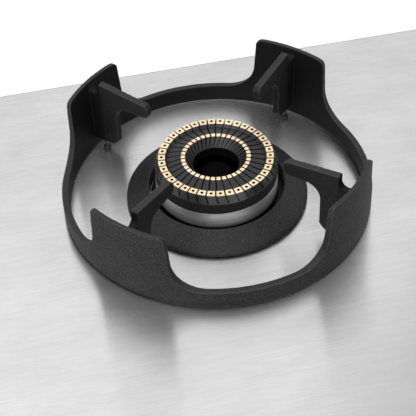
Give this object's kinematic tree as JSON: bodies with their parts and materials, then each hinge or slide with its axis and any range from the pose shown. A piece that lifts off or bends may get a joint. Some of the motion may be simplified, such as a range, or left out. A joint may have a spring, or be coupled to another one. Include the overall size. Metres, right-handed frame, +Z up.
{
  "type": "gas cooktop",
  "caption": "Built-in gas cooktop: steel plate, double-flame wok burner with slotted crown, cast-iron wok support with tall lugs and arms, push-and-turn knob and gas valve.",
  "frame": {"origin": "under the middle of the plate, at the underside of the box's floor", "axes": "+Z up, +Y towards the back, away from the person at the knob, +X to that person's right"},
  "size_m": [0.52, 0.53, 0.1336],
  "materials": {
    "stainless": "brushed",
    "foam": "matt",
    "zinc_sheet": "zinc plated",
    "zinc_screw": "zinc plated",
    "cast_alloy": "as cast",
    "brass": "machined",
    "fibre": "pressed fibre",
    "cup_alloy": "turned",
    "ceramic": "smooth",
    "steel_wire": "drawn",
    "copper": "drawn",
    "skirt_enamel": "matt enamel",
    "crown_enamel": "matt enamel with bare brass lands",
    "iron_enamel": "matt enamel",
    "rubber": "moulded",
    "knob_metal": "satin",
    "black_plastic": "moulded",
    "white_plastic": "moulded",
    "red_plastic": "moulded",
    "spark_sleeve": "silicone",
    "mains_sheath": "smooth"
  },
  "bodies": {
    "hob": {"hob_plate": "stainless", "worktop_seal": "foam", "burner_box": "zinc_sheet", "box_nuts": "zinc_screw", "burner_bridge": "zinc_sheet", "bridge_screws": "zinc_screw", "injector_body": "cast_alloy", "inner_injector": "brass", "outer_injector": "brass", "burner_gasket": "fibre", "burner_cup": "cup_alloy", "cup_screws": "zinc_screw", "venturi_tube": "cast_alloy", "spark_electrode_ceramic": "ceramic", "spark_electrode_pin": "steel_wire", "thermocouple_tip": "steel_wire", "thermocouple_lead": "copper", "knob_bezel": "stainless", "return_spring": "steel_wire", "valve_body": "cast_alloy", "valve_cover": "zinc_sheet", "magnet_unit": "brass", "valve_bracket": "zinc_sheet", "valve_screws": "zinc_screw", "ignition_switch": "black_plastic", "gas_inlet": "brass", "inlet_nut": "zinc_screw", "manifold_pipe": "cast_alloy", "inner_gas_pipe": "cast_alloy", "outer_gas_pipe": "cast_alloy", "pipe_nuts": "brass", "ignition_module": "white_plastic", "spark_lead": "spark_sleeve", "terminal_block": "white_plastic", "supply_lead": "mains_sheath", "cord_gland": "black_plastic", "clamp_brackets": "zinc_sheet", "clamp_screws": "zinc_screw"},
    "support": {"pan_support": "iron_enamel", "foot_pins": "steel_wire", "foot_pads": "rubber"},
    "crown": {"burner_crown": "crown_enamel"},
    "skirt": {"burner_skirt": "skirt_enamel"},
    "cap": {"centre_cap": "skirt_enamel"},
    "push": {"spindle_washer": "zinc_screw", "switch_plunger": "red_plastic"},
    "knob": {"control_knob": "knob_metal", "valve_spindle": "steel_wire"},
    "plug": {"valve_plug": "brass"},
    "front_left_clamp": {"clamp_front_left": "zinc_sheet"},
    "front_right_clamp": {"clamp_front_right": "zinc_sheet"},
    "back_left_clamp": {"clamp_back_left": "zinc_sheet"},
    "back_right_clamp": {"clamp_back_right": "zinc_sheet"}
  },
  "joints": [
    {"name": "support_lift", "type": "slide", "parent": "hob", "child": "support", "axis": [0, 0, 1], "range_m": [0, 0.08]},
    {"name": "crown_lift", "type": "slide", "parent": "hob", "child": "crown", "axis": [0, 0, 1], "range_m": [0, 0.045]},
    {"name": "skirt_lift", "type": "slide", "parent": "hob", "child": "skirt", "axis": [0, 0, 1], "range_m": [0, 0.038]},
    {"name": "cap_lift", "type": "slide", "parent": "hob", "child": "cap", "axis": [0, 0, 1], "range_m": [0, 0.05]},
    {"name": "knob_push", "type": "slide", "parent": "hob", "child": "push", "axis": [0, 0, -1], "range_m": [0, 0.003], "stiffness_N_per_m": 2000, "springref_m": -0.002, "deforming": ["return_spring"]},
    {"name": "knob_turn", "type": "hinge", "parent": "push", "child": "knob", "pos_m": [0, -0.217, 0.08], "axis": [0, 0, 1], "range_deg": [0, 270]},
    {"name": "plug_turn", "type": "hinge", "parent": "hob", "child": "plug", "pos_m": [0, -0.217, 0.022], "axis": [0, 0, 1], "range_deg": [0, 270]},
    {"name": "front_left_clamp_swing", "type": "hinge", "parent": "hob", "child": "front_left_clamp", "pos_m": [-0.241, -0.17, 0.0095], "axis": [0, 0, 1], "range_deg": [0, 90]},
    {"name": "front_right_clamp_swing", "type": "hinge", "parent": "hob", "child": "front_right_clamp", "pos_m": [0.241, -0.17, 0.0095], "axis": [0, 0, 1], "range_deg": [-90, 0]},
    {"name": "back_left_clamp_swing", "type": "hinge", "parent": "hob", "child": "back_left_clamp", "pos_m": [-0.241, 0.17, 0.0095], "axis": [0, 0, 1], "range_deg": [-90, 0]},
    {"name": "back_right_clamp_swing", "type": "hinge", "parent": "hob", "child": "back_right_clamp", "pos_m": [0.241, 0.17, 0.0095], "axis": [0, 0, 1], "range_deg": [0, 90]}
  ],
  "couplings": [
    {"joint": "plug_turn", "follows": "knob_turn", "ratio": 1}
  ]
}
